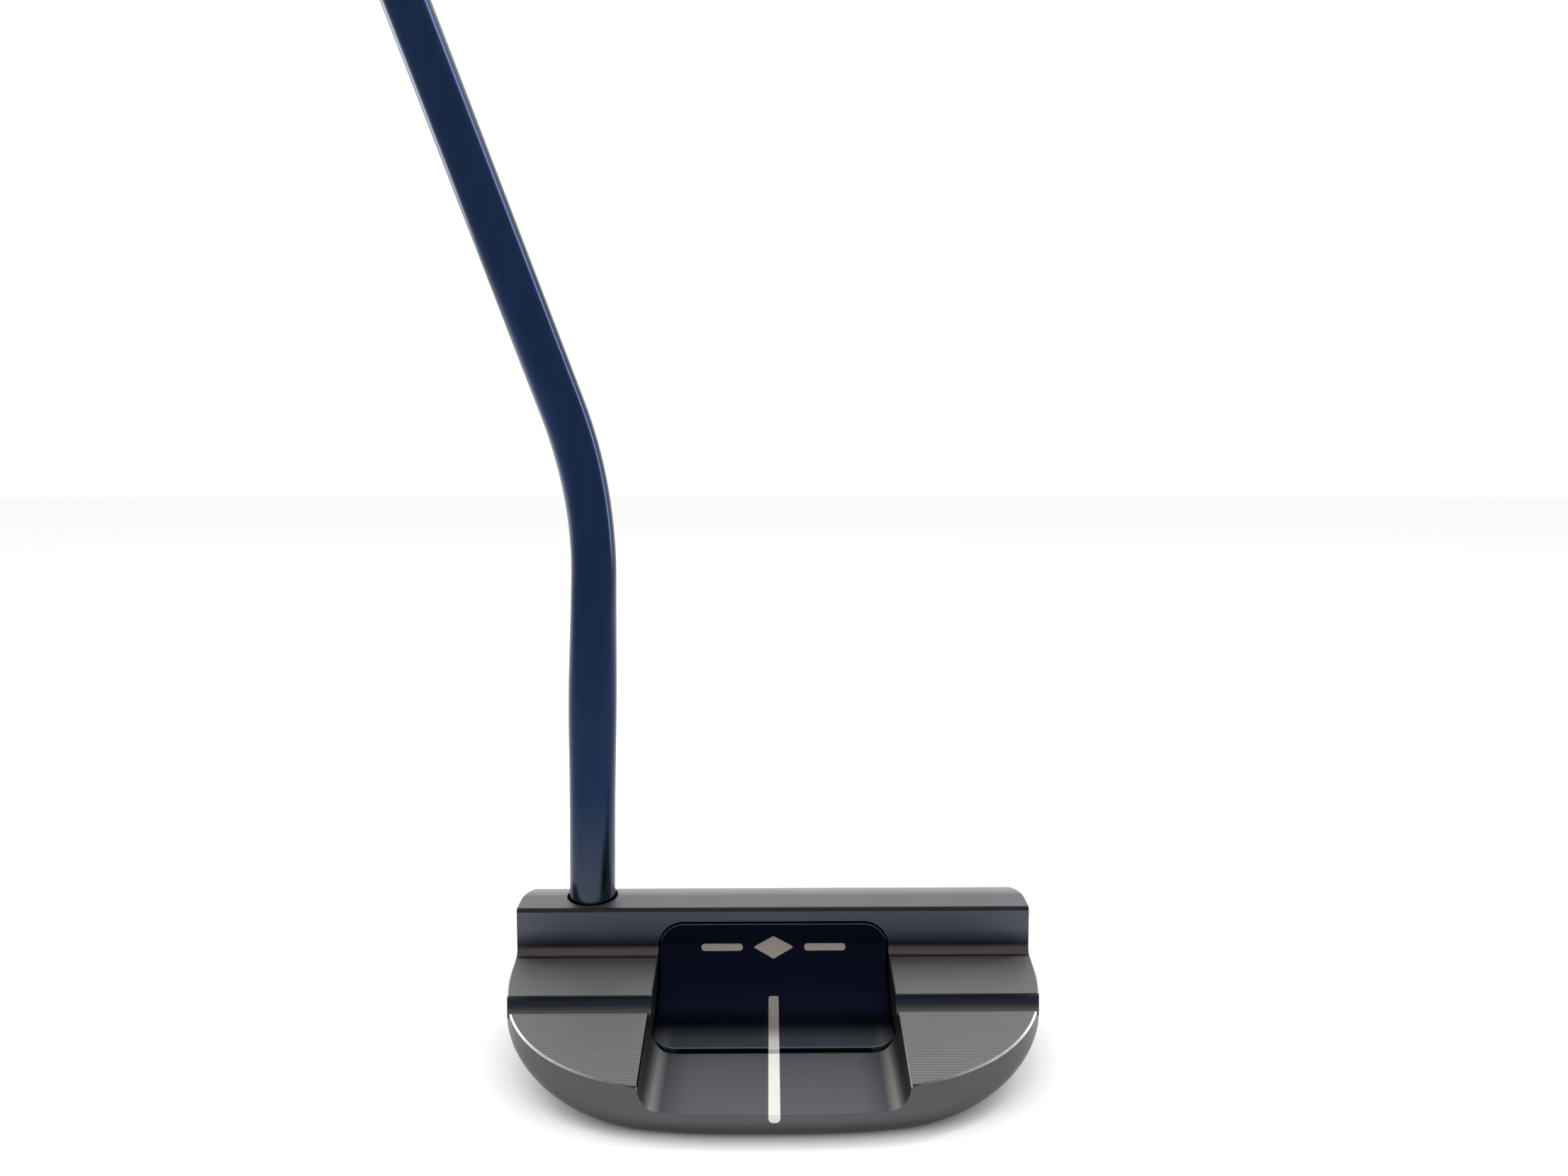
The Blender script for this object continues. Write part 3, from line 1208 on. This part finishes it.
def shape_grip(bm, grip):
    """Scales a unit section along the grip: slim at the mouth, fuller on the palm side near the butt."""
    for vert in bm.verts:
        along = min(max(vert.co.z / grip.length, 0), 1)
        rise = min(along / 0.8, 1)
        half = grip.mouth_half + (grip.butt_half - grip.mouth_half) * rise * rise * (3 - 2 * rise)
        lip = min(max(vert.co.z / grip.lip, 0), 1)
        half -= 1.5 * mm * (1 - sqrt(1 - (1 - lip) ** 2))
        bulge = grip.pistol * exp(-((along - 0.86) / 0.13) ** 2)
        palm = max(-vert.co.x, 0)
        vert.co.x = vert.co.x * half - palm * bulge
        vert.co.y *= half
    return bm


def grip_section():
    """One half wide and flat towards +X, where the thumbs lie."""
    return [(0.8, -1, 0.35), (0.8, 1, 0.35), (-1, 1, 0.99), (-1, -1, 0.99)]


class PUTTER_OT_grip(bpy.types.Operator):
    """Builds the pistol-shaped rubber grip and its cap"""
    bl_idname = "putter.grip"
    bl_label = "Grip"

    def execute(self, context):
        shaft, grip = context.scene.putter_shaft, context.scene.putter_grip
        colours = context.scene.putter_finishes
        steps = 130
        body = shape_grip(prism(grip_section(), "Z", 0, grip.length, segments=24, steps=steps), grip)
        bore = rod(0, 0, 1, -1 * mm, grip.length + 1 * mm, 96)
        for vert in bore.verts:
            radius = shaft_radius(shaft, shaft.butt + grip.gap - grip.length + vert.co.z) + 0.8 * mm
            vert.co.x *= radius
            vert.co.y *= radius
        body = moved(combine(body, [bore]), grip_frame(shaft, grip))
        finish_piece("grip_moulded", body, [moulded_rubber("moulded_grip_rubber", colours.rubber, 0.55)],
                     ["grip"])
        low = grip.length + grip.gap
        cap = shape_grip(prism(grip_section(), "Z", low, low + grip.cap, segments=24, steps=1), grip)
        top = [e for e in cap.edges if all(v.co.z > low + grip.cap - 0.01 * mm for v in e.verts)]
        soften(cap, top, 1.2 * mm, 5)
        cap = combine(cap, [rod(0, 0, grip.vent, grip.length, grip.length + 3 * grip.cap)])
        finish_piece("grip_cap_moulded", moved(cap, grip_frame(shaft, grip)),
                     [moulded_rubber("moulded_cap_rubber", colours.rubber, 0.2)], ["grip_cap"])
        return {"FINISHED"}


class PUTTER_OT_hidden_parts(bpy.types.Operator):
    """Gives the parts inside the head, the shaft and the grip their finishes"""
    bl_idname = "putter.hidden_parts"
    bl_label = "Hidden parts"

    def execute(self, context):
        colours = context.scene.putter_finishes
        dress("insert_membrane", plain_matter("damping_film", colours.film, 0.6 * mm, 0.85, 1.15, 0.8, 0.02 * mm))
        dress("shaft_epoxy", plain_matter("cured_epoxy", colours.epoxy, 1.5 * mm, 0.8, 1.2, 0.35, 0.03 * mm))
        dress("shaft_tip_plug", plain_matter("agglomerated_cork", colours.cork, 1.2 * mm, 0.6, 1.2, 0.85, 0.2 * mm))
        dress("grip_tape", plain_matter("paper_tape", colours.tape, 0.8 * mm, 0.93, 1.05, 0.85, 0.03 * mm))
        return {"FINISHED"}


# ------------------------------------------------------------------ stage

def area_light(name, place, target, width, height, power):
    """A soft rectangular light that the camera doesn't see."""
    light = bpy.data.lights.new(name, "AREA")
    light.shape = "RECTANGLE"
    light.size, light.size_y, light.energy = width, height, power
    lamp = bpy.data.objects.new(name, light)
    lamp.location = place
    lamp.rotation_euler = (Vector(target) - Vector(place)).to_track_quat("-Z", "Y").to_euler()
    lamp.visible_camera = False
    bpy.context.scene.collection.objects.link(lamp)


class PUTTER_OT_stage(bpy.types.Operator):
    """Sets the pale floor, the soft studio light and the camera"""
    bl_idname = "putter.stage"
    bl_label = "Stage"

    def execute(self, context):
        scene = context.scene
        stage = scene.putter_stage
        bm = bmesh.new()
        bmesh.ops.create_circle(bm, cap_ends=True, segments=96, radius=stage.floor_radius,
                                matrix=Matrix.Translation((0, 0, -0.05 * mm)))
        mesh = bpy.data.meshes.new("floor")
        bm.to_mesh(mesh)
        bm.free()
        material, _, shader = start_material("matt_pale_floor", Roughness=0.9)
        shader.inputs["Base Color"].default_value = (*scene.putter_finishes.floor, 1)
        mesh.materials.append(material)
        floor = bpy.data.objects.new("floor", mesh)
        scene.collection.objects.link(floor)

        world = bpy.data.worlds.new("studio")
        world.use_nodes = True
        world.node_tree.nodes["Background"].inputs["Color"].default_value = (1, 1, 1, 1)
        world.node_tree.nodes["Background"].inputs["Strength"].default_value = stage.sky
        scene.world = world

        area_light("top_softbox", (0.1, 0.5, 1.3), (0, 0, 0.02), 2.0, 1.6, stage.top_power)
        area_light("heel_strip", (-1.0, 0.55, 0.7), (0, 0, 0.1), 0.5, 1.3, stage.side_power)
        area_light("toe_strip", (1.0, 0.55, 0.7), (0, 0, 0.1), 0.18, 1.3, stage.side_power)

        camera = bpy.data.cameras.new("camera")
        camera.sensor_width = 36
        camera.lens = stage.lens
        camera.clip_start = 0.01
        camera.clip_end = 100
        holder = bpy.data.objects.new("camera", camera)
        holder.location = stage.camera
        holder.rotation_euler = (pi / 2 - stage.pitch, 0, -stage.yaw)
        scene.collection.objects.link(holder)
        scene.camera = holder
        scene.view_settings.view_transform = "Standard"
        return {"FINISHED"}


# ------------------------------------------------------------------ panel and run

GROUPS = {
    "putter_head": HeadSizes,
    "putter_insert": InsertSizes,
    "putter_sole": SoleSizes,
    "putter_shaft": ShaftSizes,
    "putter_grip": GripSizes,
    "putter_finishes": Finishes,
    "putter_stage": StageSettings,
}
OPERATORS = (
    PUTTER_OT_head,
    PUTTER_OT_insert,
    PUTTER_OT_sight_lines,
    PUTTER_OT_emblem,
    PUTTER_OT_sole_plate,
    PUTTER_OT_sole_screws,
    PUTTER_OT_sole_weights,
    PUTTER_OT_shaft,
    PUTTER_OT_grip,
    PUTTER_OT_hidden_parts,
    PUTTER_OT_stage,
)


class PUTTER_PT_build(bpy.types.Panel):
    """Lists the pieces of the putter in the order that they are built"""
    bl_idname = "PUTTER_PT_build"
    bl_label = "Putter"
    bl_space_type = "VIEW_3D"
    bl_region_type = "UI"
    bl_category = "Putter"

    def draw(self, context):
        for operator in OPERATORS:
            self.layout.operator(operator.bl_idname)


def register():
    for cls in (*GROUPS.values(), *OPERATORS, PUTTER_PT_build):
        bpy.utils.register_class(cls)
    for name, group in GROUPS.items():
        setattr(bpy.types.Scene, name, PointerProperty(type=group))


def unregister():
    for name in GROUPS:
        delattr(bpy.types.Scene, name)
    for cls in reversed((*GROUPS.values(), *OPERATORS, PUTTER_PT_build)):
        bpy.utils.unregister_class(cls)


def main():
    register()
    for operator in OPERATORS:
        getattr(bpy.ops.putter, operator.bl_idname.split(".")[1])()


if __name__ == "__main__":
    main()
